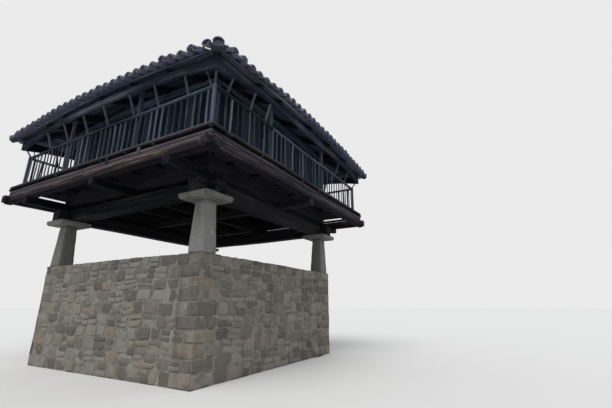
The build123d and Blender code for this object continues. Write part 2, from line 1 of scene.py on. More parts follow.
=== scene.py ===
# %% [markdown]
# # A raised timber granary with a gallery
#
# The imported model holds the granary's structure at its real size: a rubble ground storey,
# pillars with capstones, a lapped timber frame, a gallery, plank walls and a hipped roof.
# This lesson dresses it. Each step says what a piece is on the real building, how it could
# be made in Blender, and why one way was chosen.

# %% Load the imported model
import math
import random

import bpy
import numpy as np
from mathutils import Matrix, Vector
from mathutils.bvhtree import BVHTree


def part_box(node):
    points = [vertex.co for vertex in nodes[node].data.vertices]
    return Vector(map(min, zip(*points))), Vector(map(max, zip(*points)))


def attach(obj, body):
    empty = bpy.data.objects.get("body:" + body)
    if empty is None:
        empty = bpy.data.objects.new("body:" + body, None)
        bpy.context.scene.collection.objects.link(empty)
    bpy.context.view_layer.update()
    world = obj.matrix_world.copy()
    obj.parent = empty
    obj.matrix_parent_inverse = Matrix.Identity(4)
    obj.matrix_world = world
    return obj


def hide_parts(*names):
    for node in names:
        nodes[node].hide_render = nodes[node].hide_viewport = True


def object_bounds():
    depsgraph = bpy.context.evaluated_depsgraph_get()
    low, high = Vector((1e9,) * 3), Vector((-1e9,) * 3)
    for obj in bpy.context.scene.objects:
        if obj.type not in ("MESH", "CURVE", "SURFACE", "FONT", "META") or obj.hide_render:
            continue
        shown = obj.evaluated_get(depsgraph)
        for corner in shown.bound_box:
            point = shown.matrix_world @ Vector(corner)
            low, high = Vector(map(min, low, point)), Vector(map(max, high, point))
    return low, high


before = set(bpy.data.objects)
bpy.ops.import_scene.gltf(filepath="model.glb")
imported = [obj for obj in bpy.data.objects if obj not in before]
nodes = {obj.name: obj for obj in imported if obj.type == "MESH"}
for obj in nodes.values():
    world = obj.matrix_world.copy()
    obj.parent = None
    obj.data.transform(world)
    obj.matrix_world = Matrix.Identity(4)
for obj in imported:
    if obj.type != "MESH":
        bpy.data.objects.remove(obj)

cad_low, cad_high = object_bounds()
print("CAD box", tuple(cad_low), tuple(cad_high), "with", len(nodes), "nodes")

# %% [markdown]
# ## The camera
#
# The photographer stood near one corner and tilted a wide lens upwards. The two vanishing
# points of the eaves and rails give the lens and the tilt, and the gallery's size gives the
# distance. A camera that is placed by those numbers needs no fitting later.

# %% Place the camera
eye = (8.66, -8.50, 1.60)
tilt_up = math.radians(16.3)
turn_left = math.radians(29.0)
focal_pixels = 345
photo_width = 612
sensor_width = 36

bpy.ops.object.camera_add(location=eye, rotation=(math.pi / 2 + tilt_up, 0, turn_left))
camera = bpy.context.object
camera.data.sensor_width = sensor_width
camera.data.lens = focal_pixels / photo_width * sensor_width
bpy.context.scene.camera = camera
bpy.context.scene.view_settings.view_transform = "Standard"
print("lens", round(camera.data.lens, 1), "mm")

# %% [markdown]
# ## Writing materials as sums
#
# A node tree is quick to draw by hand and slow to read as code. One small class wraps a
# socket, so that a sum such as `0.3 + 0.5 * fibre` adds the Math nodes by itself. Every
# other kind of node comes from one method, which sets the node up first and then fills
# or links its sockets. A colour is written as red, green and blue.


# %% A socket that can be added and multiplied
class Wire:
    """One output socket of a node tree, or the start of an empty tree."""

    def __init__(self, tree, socket=None):
        self.tree = tree
        self.socket = socket

    def node(self, kind, links=None, out=0, stops=None, **settings):
        """A new node: its settings, then its ramp stops, then values or links for its sockets."""
        made = self.tree.nodes.new("ShaderNode" + kind)
        for key, value in settings.items():
            setattr(made, key, value)
        if stops:
            ramp = made.color_ramp.elements
            while len(ramp) < len(stops):
                ramp.new(1)
            for element, (place, colour) in zip(ramp, stops):
                element.position = place
                element.color = (*colour, 1)
        for name, value in (links or {}).items():
            socket = made.inputs[name]
            if isinstance(value, Wire):
                self.tree.links.new(value.socket, socket)
            else:
                socket.default_value = (*value, 1) if socket.type == "RGBA" else value
        return Wire(self.tree, made.outputs[out] if made.outputs else None)

    def attribute(self, name, out="Fac"):
        return self.node("Attribute", out=out, attribute_name=name)

    def math(self, operation, *values):
        return self.node("Math", dict(enumerate(values)), operation=operation)

    def __add__(self, other):
        return self.math("ADD", self, other)

    def __sub__(self, other):
        return self.math("SUBTRACT", self, other)

    def __rsub__(self, other):
        return self.math("SUBTRACT", other, self)

    def __mul__(self, other):
        return self.math("MULTIPLY", self, other)

    __radd__ = __add__
    __rmul__ = __mul__

    def above(self, low, high):
        """0 below low, 1 above high, and smooth between."""
        links = {"Value": self, "From Min": low, "From Max": high}
        return self.node("MapRange", links, interpolation_type="SMOOTHSTEP")

    def stretched(self, along, across, up):
        """This vector, stretched by three factors."""
        return self.node("VectorMath", {0: self, 1: (along, across, up)}, operation="MULTIPLY")

    def noise(self, scale, detail=3.0, rough=0.55):
        """Soft noise from 0 to 1 over this vector."""
        links = {"Vector": self, "Scale": scale, "Detail": detail, "Roughness": rough}
        return self.node("TexNoise", links)

    def mix(self, low, high):
        """Two colours mixed, with this value as the factor."""
        return self.node("Mix", {"Factor": self, 6: low, 7: high}, out=2, data_type="RGBA")


# %% [markdown]
# Nothing on this building is polished, so every shader has little sheen: with the usual
# amount, the near-black timbers would reflect the sky and turn grey.

# %% Start and finish a material
sheen = 0.12
bump_strength = 0.9


def new_material(name):
    """An empty material: its first wire and a function that finishes it."""
    made = bpy.data.materials.new(name)
    made.use_nodes = True
    made.node_tree.nodes.clear()
    start = Wire(made.node_tree)

    def finish(base, roughness, height=None, depth=0.0):
        """Colour, roughness and, if given, a bump of that depth in metres, in one shader."""
        links = {"Base Color": base, "Roughness": roughness, "Specular IOR Level": sheen}
        if height:
            bump = {"Height": height, "Distance": depth, "Strength": bump_strength}
            links["Normal"] = start.node("Bump", bump)
        start.node("OutputMaterial", {"Surface": start.node("BsdfPrincipled", links)})
        return made

    return start, finish


# %% [markdown]
# ## Floor, sky and light
#
# The photo was taken under an overcast sky: light comes from everywhere above and little
# comes from below. The floor and the sky look pale to the camera. To everything else the
# floor is darker and bluish, so that it doesn't light up the undersides.

# %% Floor, world and lamp
backdrop_colour = (0.83, 0.83, 0.83)
floor_colour = (0.745, 0.69, 0.635)
floor_to_light = (0.11, 0.15, 0.205)
sky_colour = (0.82, 0.91, 1.0)
sky_strength = 0.75
sun_colour = (0.90, 0.95, 1.0)
sun_strength = 1.9
sun_height = math.radians(58)
sun_side = math.radians(14)
sun_softness = math.radians(40)

bpy.ops.mesh.primitive_plane_add(size=400)
floor = bpy.context.object
floor.name = "studio_floor"
start, finish = new_material("studio_floor")
seen = start.node("LightPath", out="Is Camera Ray")
paint = start.node("LightPath", out="Is Glossy Ray").math("MAXIMUM", seen)
floor.data.materials.append(finish(paint.mix(floor_to_light, floor_colour), 0.9))

world = bpy.data.worlds.new("studio_sky")
bpy.context.scene.world = world
world.use_nodes = True
world.node_tree.nodes.clear()
sky = Wire(world.node_tree)
seen = sky.node("LightPath", out="Is Camera Ray")
backdrop = sky.node("Background", {"Color": backdrop_colour, "Strength": 1.0})
daylight = sky.node("Background", {"Color": sky_colour, "Strength": sky_strength})
sky.node("OutputWorld", {"Surface": sky.node("MixShader", {0: seen, 1: daylight, 2: backdrop})})

bpy.ops.object.light_add(type="SUN", rotation=(math.pi / 2 - sun_height, 0, sun_side))
sun = bpy.context.object.data
sun.energy = sun_strength
sun.angle = sun_softness
sun.color = sun_colour
print("sky", sky_strength, "sun", sun_strength)

# %% [markdown]
# ## Old wood
#
# Every timber here is oak or chestnut that has never been painted. Its fibres stand up as
# fine ridges, long cracks follow them, and the tone changes from board to board. A pattern
# on Object coordinates would run one way through every timber, so each timber carries its
# own coordinates, with X along its length, in an attribute named `grain`, and a random
# number named `tone`. One function makes all the woods of this building.


# %% Wood from fibres, cracks and stains
def old_wood(name, dark, light, silver, crack_share=0.08, depth=0.004, low=0.40, high=0.60):
    """Weathered wood: two tones of fibre, silvered ridges, and cracks along the grain."""
    start, finish = new_material(name)
    grain = start.attribute("grain", "Vector")
    tone = start.attribute("tone")
    fibre = grain.stretched(2.5, 90, 90).noise(1.0, 5, 0.65)
    streak = grain.stretched(0.7, 14, 14).noise(1.0, 4, 0.6)
    coarse = grain.stretched(0.4, 8, 8).noise(1.0, 2)
    patch = grain.stretched(0.9, 2.2, 2.2).noise(1.0, 3)
    crack_line = (grain.stretched(0.8, 17, 17).noise(1.0, 3) - 0.5).math("ABSOLUTE")
    split_patch = grain.stretched(0.8, 5, 5).noise(1.3, 2)
    crack_patch = split_patch.above(0.62 - crack_share, 0.70 - crack_share)
    crack = (1 - crack_line.above(0.006, 0.022)) * crack_patch
    fibres = 0.40 * coarse + 0.35 * streak + 0.25 * fibre
    body = (fibres + 0.35 * (tone - 0.5)).above(low, high).mix(dark, light)
    ridge = (0.35 * fibre + 0.35 * coarse + 0.30 * patch).above(0.48, 0.64)
    worn = (ridge * (0.3 + 0.8 * tone)).mix(body, silver)
    cracked = (0.92 * crack).mix(worn, (0.008, 0.007, 0.007))
    return finish(cracked, 0.74 + 0.2 * fibre, 0.5 * fibre + 0.35 * streak - 1.0 * crack, depth)


# %% The woods: colours of dark fibres, light fibres and silvered ridges, then share of cracks
woods = {
    "log": ("sunlit_log", (0.014, 0.011, 0.013), (0.105, 0.070, 0.058), (0.42, 0.26, 0.18),
            0.20, 0.010, 0.42, 0.58),
    "fascia": ("fascia_board", (0.014, 0.013, 0.017), (0.075, 0.058, 0.064),
               (0.150, 0.122, 0.126), 0.14, 0.006, 0.42, 0.58),
    "grey": ("weathered_rail", (0.018, 0.024, 0.038), (0.078, 0.090, 0.120),
             (0.200, 0.195, 0.215), 0.08, 0.004, 0.41, 0.61),
    "soffit": ("eaves_board", (0.07, 0.088, 0.125), (0.20, 0.23, 0.30), (0.42, 0.385, 0.41), 0.06),
    "dark": ("roof_timber", (0.062, 0.080, 0.118), (0.175, 0.215, 0.295), (0.220, 0.255, 0.320)),
    # painted shade: this wood is near black, darker than the timbers are, for the shade under the
    # floors
    "under": ("shade_darkened_beam", (0.004, 0.005, 0.007), (0.024, 0.022, 0.025),
              (0.050, 0.042, 0.042)),
    "plank": ("wall_plank", (0.018, 0.025, 0.040), (0.055, 0.070, 0.100),
              (0.080, 0.095, 0.125), 0.04),
}
materials = {key: old_wood(*wood) for key, wood in woods.items()}
print("woods", sorted(materials))

# %% [markdown]
# ## Stone, mortar and clay
#
# The ground storey is field stone in lime mortar, and each stone has its own tone, held in
# the attribute `tone`. Dressed stones are one block each, stained and spotted with lichen.
# The roof tiles are clay that soot and algae have turned nearly black, with grey lichen on
# top. Faces that look down are painted pale and bluish, as painted light, and a few tiles
# keep some of their first red.

# %% Stone, mortar and tile finishes
def stone(name, tones, lichen, spots, depth):
    """Rough stone: several tones, pale lichen spots, and dark stains that run down."""
    start, finish = new_material(name)
    place = start.node("TexCoord", out="Object")
    tone = start.attribute("tone")
    coarse = place.noise(7, 5, 0.6)
    fine = place.noise(55, 4, 0.6)
    base = start.node("ValToRGB", {"Fac": 0.75 * tone + 0.35 * coarse - 0.05}, stops=tones)
    grit = (0.5 * fine.above(0.35, 0.75)).mix(base, (0.10, 0.092, 0.082))
    stain = 0.55 * place.stretched(3, 3, 0.6).noise(1.0, 4).above(0.5, 0.75)
    stained = stain.mix(grit, (0.055, 0.052, 0.046))
    spot = place.noise(9, 6, 0.7).above(1 - spots, 1.04 - spots)
    lit = (0.8 * spot).mix(stained, lichen)
    return finish(lit, 0.85 + 0.1 * fine, 0.7 * coarse + 0.3 * fine, depth)


def lime_mortar(name, low, high):
    """Old lime mortar: sandy, and washed out in places."""
    start, finish = new_material(name)
    place = start.node("TexCoord", out="Object")
    sand = place.noise(160, 3, 0.6)
    wash = place.noise(3.5, 4, 0.6).above(0.35, 0.7)
    speckled = (0.4 * sand).mix(wash.mix(low, high), (0.10, 0.09, 0.08))
    return finish(speckled, 0.92 + 0.05 * sand, 0.6 * sand + 0.4 * wash, 0.004)


def clay_tile():
    """Soot and algae over clay, lichen and a little moss on top, and painted light: faces that look
    down are pale blue.
    """
    start, finish = new_material("old_clay_tile")
    place = start.node("TexCoord", out="Object")
    tone = start.attribute("tone")
    up = start.node("SeparateXYZ", {0: start.node("NewGeometry", out="Normal")}, out="Z")
    cloud = place.noise(5, 5, 0.65)
    speck = place.noise(48, 4, 0.65)
    stops = [(0.0, (0.016, 0.022, 0.040)), (0.40, (0.038, 0.051, 0.084)),
             (0.75, (0.078, 0.090, 0.130)), (1.0, (0.190, 0.145, 0.145))]
    base = start.node("ValToRGB", {"Fac": 0.95 * tone + 0.45 * cloud - 0.22}, stops=stops)
    dirt = (0.4 * place.noise(13, 4).above(0.42, 0.66)).mix(base, (0.031, 0.043, 0.070))
    patch = start.attribute("crust")
    crust = speck.above(0.52, 0.64) * up.above(0.1, 0.7) * place.noise(2.3, 3).above(0.40, 0.62)
    crust = (0.55 * crust).math("MAXIMUM", patch * (0.6 * speck + 0.7 * cloud).above(0.50, 0.66))
    # painted light: faces that look down are painted pale and bluish
    painted_underside_light = (-1 * up).above(0.1, 0.6).mix(dirt, (0.20, 0.255, 0.38))
    lichen = (0.8 * crust).mix(painted_underside_light, (0.30, 0.255, 0.275))
    moss = place.noise(3.1, 5, 0.7).above(0.60, 0.68) * up.above(0.3, 0.8)
    grown = (0.7 * moss).mix(lichen, (0.050, 0.060, 0.022))
    return finish(grown, 0.78 + 0.15 * speck, 0.5 * cloud + 0.5 * speck, 0.004)


rubble_tones = [(0.0, (0.12, 0.098, 0.078)), (0.35, (0.22, 0.185, 0.145)),
                (0.65, (0.33, 0.29, 0.235)), (1.0, (0.27, 0.20, 0.14))]
block_tones = [(0.0, (0.19, 0.18, 0.155)), (0.5, (0.29, 0.27, 0.235)), (1.0, (0.37, 0.35, 0.31))]
materials |= {
    "rubble": stone("field_stone", rubble_tones, (0.42, 0.41, 0.34), 0.33, 0.012),
    "block": stone("dressed_stone", block_tones, (0.50, 0.49, 0.40), 0.37, 0.008),
    "mortar": lime_mortar("lime_mortar", (0.20, 0.175, 0.145), (0.38, 0.34, 0.29)),
    "roof_mortar": lime_mortar("roof_mortar", (0.045, 0.056, 0.078), (0.090, 0.105, 0.138)),
    "tile": clay_tile(),
}
print("finishes", sorted(materials))

# %% [markdown]
# ## Working in edit mode from a script
#
# Operators act on what is selected, as they do by hand. So each piece starts with nothing
# selected, and a small helper opens it in edit mode. The building is old and has settled:
# at the end one slow wave field moves every piece by about a centimetre. Neighbours move
# together, so no joint opens.

# %% Helpers for edit mode
rng = random.Random(1897)


def jitter(by):
    return rng.uniform(-by, by)


def spin(angle, axis):
    return Matrix.Rotation(angle, 4, axis)


def nothing_selected():
    if bpy.context.mode != "OBJECT":
        leave_edit()
    bpy.ops.object.select_all(action="DESELECT")


def edit(piece):
    """Open one piece in edit mode, with all of it selected."""
    nothing_selected()
    piece.select_set(True)
    bpy.context.view_layer.objects.active = piece
    bpy.ops.object.mode_set(mode="EDIT")
    select_mesh()


def leave_edit():
    bpy.ops.object.mode_set(mode="OBJECT")


def start_from(add_primitive, **size):
    """Add a primitive, apply its turn and scale, and open it in edit mode."""
    nothing_selected()
    add_primitive(**size)
    bpy.ops.object.transform_apply(rotation=True, scale=True)
    piece = bpy.context.object
    edit(piece)
    return piece


def select_mesh():
    bpy.ops.mesh.select_all(action="SELECT")


def cut(normal, places):
    """Cut the mesh by planes square to a direction, at these places along it."""
    for place in places:
        select_mesh()
        bpy.ops.mesh.bisect(plane_co=Vector(normal) * place, plane_no=normal)


def roughen(by, seed):
    """Move all the vertices at random, by no more than that."""
    select_mesh()
    bpy.ops.transform.vertex_random(offset=by, uniform=1.0, normal=0.0, seed=seed)


# %% Helpers for vertices
def points(piece):
    """The vertices of a mesh, one to a row."""
    flat = np.empty(len(piece.data.vertices) * 3)
    piece.data.vertices.foreach_get("co", flat)
    return flat.reshape(-1, 3)


def move_points(piece, rows):
    piece.data.vertices.foreach_set("co", np.asarray(rows, float).ravel())
    piece.data.update()


def write_attribute(piece, name, values):
    """Keep a number, or a vector, for each vertex."""
    values = np.asarray(values, float)
    kind, field = ("FLOAT_VECTOR", "vector") if values.ndim == 2 else ("FLOAT", "value")
    made = piece.data.attributes.get(name) or piece.data.attributes.new(name, kind, "POINT")
    made.data.foreach_set(field, values.ravel())


def tint(piece, tone):
    """Give a whole piece one tone, or each vertex its own."""
    write_attribute(piece, "tone", np.broadcast_to(tone, len(piece.data.vertices)))


def in_scene(name, mesh):
    piece = bpy.data.objects.new(name, mesh)
    bpy.context.scene.collection.objects.link(piece)
    return piece


# %% Settle a piece and hang it on the root
def settle(rows):
    """The slow wave field: each point moves by up to about 12 mm, and less near the ground."""
    x, y, z = rows.T
    waves = (np.sin(1.3 * y + 0.9 * z) + np.sin(0.7 * x - 1.9 * y + 2),
             np.sin(1.1 * x - 1.2 * z + 1) + np.sin(1.7 * x + 0.8 * y + 4),
             np.sin(1.5 * x + 0.6 * y + 3) + np.sin(1.2 * y - 0.8 * x))
    return rows + 0.006 * (np.clip(z / 4, 0, 1) * waves).T


def joined(pieces, name):
    """One object from many, with its origin at the frame's origin."""
    nothing_selected()
    for piece in pieces:
        piece.select_set(True)
    bpy.context.view_layer.objects.active = pieces[0]
    if len(pieces) > 1:
        bpy.ops.object.join()
    whole = bpy.context.object
    whole.name = name
    whole.data.name = name
    return whole


def finished(pieces, name, finish, slot, *replaced, smooth=False):
    """Join the pieces, paint them, let them settle, hang them on the root, and hide the CAD nodes
    they replace.
    """
    whole = joined(pieces, name)
    whole.data.materials.clear()
    whole.data.materials.append(materials[finish])
    if smooth:
        bpy.ops.object.shade_smooth_by_angle(angle=math.radians(48))
    move_points(whole, settle(points(whole)))
    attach(whole, "root")
    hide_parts(*replaced)
    triangles = sum(len(face.vertices) - 2 for face in whole.data.polygons)
    print(name, "has", triangles, "triangles")


# %% [markdown]
# ## Timbers with laps and notches
#
# The logs, beams, bearers, rafters and plates meet in laps that the CAD model already cuts.
# Rather than modelled again, each is copied from its CAD node: the loose triangles are
# merged, flat faces are dissolved into one, a bevel wears the edges, and cuts across let the
# timber bend. Every timber then gets grain coordinates along its longest direction. The logs
# at the gallery's edge are painted lighter in a streak near their top, a painted highlight,
# and darker below it, as painted shade.

# %% Give each timber its own grain
def islands(piece):
    """A number for each vertex, the same for all that hang together."""
    mesh = piece.data
    flat = np.empty(len(mesh.edges) * 2, int)
    mesh.edges.foreach_get("vertices", flat)
    a, b = flat.reshape(-1, 2).T
    label = np.arange(len(mesh.vertices))
    before = None
    while not np.array_equal(label, before):
        before = label.copy()
        low = np.minimum(label[a], label[b])
        np.minimum.at(label, a, low)
        np.minimum.at(label, b, low)
    return label


def grain_along_each(piece):
    """Grain coordinates for each timber, along its longest direction, and a tone of its own."""
    rows = points(piece)
    label = islands(piece)
    grain = np.zeros_like(rows)
    tone = np.zeros(len(rows))
    for number in np.unique(label):
        chosen = label == number
        local = rows[chosen] - rows[chosen].mean(0)
        axes = np.linalg.svd(local, full_matrices=False)[2]
        offset = [jitter(40) for _ in range(3)]
        grain[chosen] = local @ axes.T + offset
        tone[chosen] = rng.random()
    write_attribute(piece, "grain", grain)
    write_attribute(piece, "tone", tone)


# %% Worn copies of the framing
painted_highlight_height = 0.8
painted_highlight_width = 0.24


def cut_across(step):
    """Cut the mesh by planes across all three axes, so that it can bend."""
    for axis in "XYZ":
        normal = Vector((axis == "X", axis == "Y", axis == "Z"))
        start, stop = cad_low.dot(normal), cad_high.dot(normal)
        cut(normal, [start + k * step for k in range(1, int((stop - start) / step))])


def worn_copy(node, worn, step=0.45, rough=0.002):
    """A copy of a CAD node with its edges worn round and its faces slightly uneven."""
    piece = in_scene("worn_" + node, nodes[node].data.copy())
    edit(piece)
    bpy.ops.mesh.remove_doubles(threshold=0.0002)
    bpy.ops.mesh.dissolve_limited(angle_limit=math.radians(0.6))
    select_mesh()
    bpy.ops.mesh.bevel(offset=worn, segments=2, affect="EDGES", clamp_overlap=True)
    cut_across(step)
    roughen(rough, rng.randrange(1000))
    leave_edit()
    piece.data.materials.clear()
    grain_along_each(piece)
    return piece


def dress_framing(finish, slot, worn, *names, tones=None, rough=0.002):
    """Worn copies in one wood. Tones, if given, are the tone away from the top, as painted shade,
    and that of a painted highlight near the top.
    """
    for name in names:
        piece = worn_copy(name, worn, rough=rough)
        if tones:
            z = points(piece)[:, 2]
            share = (z - z.min()) / (z.max() - z.min())
            # painted highlight: a lighter band near the top of the timber; away from it the first,
            # darker tone is painted shade
            streak = np.exp(-((share - painted_highlight_height) / painted_highlight_width)**2)
            tint(piece, tones[0] + (tones[1] - tones[0]) * streak)
        finished([piece], "worn_" + name, finish, slot, name)


# the edge logs get a painted highlight near their top and painted shade below it
dress_framing("log", "brown_log", 0.016, "edge_logs_front_back", rough=0.004, tones=(-0.3, 1.35))
dress_framing("fascia", "brown_log", 0.016, "edge_logs_sides", rough=0.004, tones=(0.1, 0.8))
# painted shade: the timbers under the floors take the near-black wood
dress_framing("under", "dark_timber", 0.014, "main_beams_front_back", "main_beams_sides",
              "floor_sills", "floor_beams", "gallery_joists")
dress_framing("under", "grey_timber", 0.014, "cross_bearers", "long_bearer")
dress_framing("dark", "dark_timber", 0.014, "top_beams", "apex_block", "wall_corner_posts",
              "door_posts", "door_head", "ground_door_lintel")
# painted shade: the rafters are painted darker as a whole, for the shade under the eaves
dress_framing("plank", "dark_timber", 0.014, "hip_rafters", "common_rafters", tones=(-0.3, -0.3))

# %% [markdown]
# ## Timbers that are the same many times over
#
# Balusters, planks and boards differ only a little. One is modelled from a cube: a bevel
# wears its edges, and planes cut it across so that it can bend. A second helper lays it as
# often as needed, each time with its own place, width, tone and grain.

# %% Model one timber and lay many
def model_timber(length, width, depth, worn, cuts, bow=0.0):
    """A squared timber along X with worn edges, its middle bowed sideways by that much."""
    piece = start_from(bpy.ops.mesh.primitive_cube_add, size=1, scale=(length, width, depth))
    bpy.ops.mesh.bevel(offset=worn, segments=1, affect="EDGES")
    cut((1, 0, 0), [length * (k / (cuts + 1) - 0.5) for k in range(1, cuts + 1)])
    leave_edit()
    rows = points(piece)
    rows[:, 1] += bow * np.cos(math.pi * rows[:, 0] / length)
    move_points(piece, rows)
    return piece


def laid(base, places):
    """One mesh of copies of a model, one at every place; the model itself is removed."""
    rows = points(base)
    faces = [tuple(face.vertices) for face in base.data.polygons]
    corners, all_faces, grain, tone = [], [], [], []
    for number, place in enumerate(list(places)):
        turn = np.array(place.to_3x3())
        corners.append(rows @ turn.T + np.array(place.translation))
        all_faces += [tuple(v + number * len(rows) for v in face) for face in faces]
        grain.append(rows + [jitter(40) for _ in range(3)])
        tone.append(np.full(len(rows), rng.random()))
    mesh = bpy.data.meshes.new("laid")
    mesh.from_pydata(np.concatenate(corners).tolist(), [], all_faces)
    piece = in_scene("laid", mesh)
    write_attribute(piece, "grain", np.concatenate(grain))
    write_attribute(piece, "tone", np.concatenate(tone))
    bpy.data.objects.remove(base)
    return piece


# %% [markdown]
# The building is square, so every piece is placed on the front, which looks along -Y, and
# turned from there to its own side.

# %% Places on the front, and turns to the other sides
sides = {"front": 0, "right": 90, "back": 180, "left": 270}


def turned(side):
    """The turn that carries a piece of the front to another side."""
    return spin(math.radians(sides[side]), "Z")


def carry(pieces, side):
    """Turn finished shapes from the front to another side."""
    for piece in pieces:
        piece.data.transform(turned(side))


def upright(x, y, z, width=1.0, lean=0.0, twist=0.0):
    """A place for an upright timber of the front: its length along Z, its width along X."""
    stand = Matrix(((0, 1, 0), (0, 0, 1), (1, 0, 0))).to_4x4()
    sway = spin(lean, "Y") @ spin(twist, "Z")
    return Matrix.Translation((x, y, z)) @ sway @ stand @ Matrix.Diagonal((1, width, 1, 1))


def level(x, y, z, width=1.0, tilt=0.0):
    """A place for a level timber of the front: its length along X, its width along Y."""
    lean = spin(tilt, "Y")
    return Matrix.Translation((x, y, z)) @ lean @ Matrix.Diagonal((1, width, 1, 1))


def split(low, high, nominal, spread):
    """Cut a run into widths near the nominal one: each one's middle and width."""
    count = max(1, round((high - low) / nominal))
    widths = [rng.uniform(1 - spread, 1 + spread) for _ in range(count)]
    share = (high - low) / sum(widths)
    middle = low
    for width in widths:
        yield middle + width * share / 2, width * share
        middle += width * share


# %% [markdown]
# ## Plates, struts and gallery posts
#
# The plates were hewn deeper towards their ends, so their undersides dip at each corner, and
# the struts' heads dip with them. The plates have also leaned in at the corners and all
# along the right side, and the corner posts are low and thin. Worn copies are enough here
# too: their own vertices are moved.

# %% How the frame has dipped and leaned
plate_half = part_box("eaves_plates")[1].x - 0.05
eaves_line = plate_half - 0.32
rail_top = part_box("railing_front")[1].z
post_head = 0.12
post_drop = 0.10
post_worn = 0.28
plate_above = 0.50
plate_depth = 0.14
plate_droop = 0.11
corner_dip = 0.18
corner_draw = 0.06


def corner_share(rows):
    """How near each vertex is to a corner: 0 at the middle of a side and 1 at the corner."""
    return abs(rows[:, :2]).min(1) / plate_half


def dip(share):
    """How far the underside of a plate dips there."""
    return corner_dip * np.clip((share - 0.62) / 0.38, 0, 1)**1.5


def draw_in(rows, share, part):
    """Draw the right plate and all the ends in a little, and the struts with them."""
    plan = rows[:, :2]
    moved = np.maximum(np.clip((share - 0.4) / 0.4, 0, 1), plan[:, 0] > eaves_line)
    outer = abs(plan) > eaves_line
    plan -= np.sign(plan) * outer * (corner_draw * part * moved)[:, None]


def dress_moved(piece, rows, tone, node):
    move_points(piece, rows)
    tint(piece, tone)
    finished([piece], "worn_" + node, "grey", "grey_timber", node)


# %% Plates, struts and gallery posts
plates = worn_copy("eaves_plates", 0.012)
rows = points(plates)
z = rows[:, 2]
share = corner_share(rows)
centre_line = rail_top + plate_above + plate_depth / 2 - plate_droop * share**2
z -= np.where(z < centre_line, dip(share), 0)
draw_in(rows, share, 1.0)
# painted shade: the plates are painted darker towards each corner
dress_moved(plates, rows, 0.6 - 0.5 * share, "eaves_plates")

struts = worn_copy("eaves_struts", 0.006, step=0.3)
rows = points(struts)
z = rows[:, 2]
share = corner_share(rows)
at_corner = share > 0.935
foot = rail_top + post_head * at_corner
head = rail_top + plate_above - plate_droop * share**2
part = np.clip((z - foot) / (head - foot), 0, 1)
z -= part * dip(share) + (1 - part) * post_drop * at_corner
draw_in(rows, share, part)
dress_moved(struts, rows, 0.85, "eaves_struts")

posts = worn_copy("gallery_posts", 0.012)
rows = points(posts)
at_corner = corner_share(rows) > 0.92
plan = rows[:, :2]
plan -= post_worn * at_corner[:, None] * (plan - np.sign(plan) * (plate_half - 0.22))
rows[:, 2] -= post_drop * at_corner * (rows[:, 2] > rail_top)
dress_moved(posts, rows, 0.9, "gallery_posts")

# %% [markdown]
# ## The railing
#
# Flat chestnut balusters stand between a foot rail and a handrail. They were split, not
# sawn, so their widths differ, and weather has bowed them. An Array modifier would make a
# machine-made fence: here three balusters with different bows are laid at the real pitch
# with small errors. A whole handrail is in three lengths that meet at the posts.

# %% Railings on four sides
floor_low, floor_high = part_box("gallery_floor")
rail_low, rail_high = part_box("railing_front")
rail_line = (rail_low.y + rail_high.y) / -2
rail_run = rail_high.x + 0.02
rail_width = rail_high.y - rail_low.y
handrail_depth = 0.064
foot_rail_depth = 0.06
baluster_width = 0.048
baluster_depth = 0.024
baluster_pitch = 0.203
stair_gap_half = 0.5
post_places = (rail_line - 2.63, rail_line - 5.65)


def rail_lengths(ends, base, depth, width):
    """Rails end to end between the given places, each a little higher or lower."""
    for low, high in zip(ends, ends[1:]):
        z = base + depth / 2 + jitter(0.007)
        place = level((low + high) / 2, -rail_line, z, 1, jitter(0.002))
        yield laid(model_timber(high - low, width, depth, 0.012, 8), [place])


def baluster_run(low, high):
    """Balusters between two ends of a railing, dealt out at random to three models."""
    base = floor_high.z + foot_rail_depth - 0.01
    top = rail_high.z - handrail_depth + 0.01
    count = int((high - low) / baluster_pitch)
    first = (low + high - (count - 1) * baluster_pitch) / 2
    hands = [[], [], []]
    for k in range(count):
        x = first + k * baluster_pitch + jitter(0.014)
        hands[rng.randrange(3)].append(
            upright(x, -rail_line + jitter(0.008), (base + top) / 2,
                    rng.uniform(0.7, 1.3), jitter(0.020), jitter(0.14)))
    for hand, bow in zip(hands, (-0.012, 0.003, 0.016)):
        if hand:
            model = model_timber(top - base, baluster_width, baluster_depth, 0.006, 4, bow)
            yield laid(model, hand)


def railing(side, stretches):
    made = []
    for low, high in stretches:
        ends = [low, *sorted(x for x in post_places if low < x < high), high]
        made += rail_lengths(ends, rail_high.z - handrail_depth, handrail_depth, rail_width - 0.01)
        made += rail_lengths([low, high], floor_high.z, foot_rail_depth, rail_width)
        made += baluster_run(low, high)
    carry(made, side)
    finished(made, side + "_railing", "grey", "grey_timber", "railing_" + side)


for side in ("front", "right", "left"):
    railing(side, [(-rail_run, rail_run)])
railing("back", [(-rail_run, -stair_gap_half), (stair_gap_half, rail_run)])

# %% [markdown]
# ## Plank walls, floors and fascia
#
# Wide upright planks close the body. The gallery is boarded along each side, over joists
# that run outwards, and two planks, one over the other, hide the joists' heads. Boards cut
# from whole trunks differ in width, so each run is split at random.

# %% Planks of the body
wall_low, wall_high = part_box("wall_front")
wall_depth = wall_high.y - wall_low.y
wall_middle = (wall_low.y + wall_high.y) / 2
plank_width = 0.27
plank_gap = 0.005


def plank_wall(side, low, high, name, node, line=wall_middle, depth=wall_depth):
    """Upright planks between two places of one side, as high as their node."""
    base, top = (corner.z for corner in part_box(node))
    places = []
    for x, width in split(low, high, plank_width, 0.25):
        share = (width - plank_gap) / plank_width
        places.append(upright(x, line + jitter(0.004), (base + top) / 2, share))
    wall = laid(model_timber(top - base, plank_width, depth, 0.007, 4), places)
    carry([wall], side)
    finished([wall], name, "plank", "wall_planks", node)


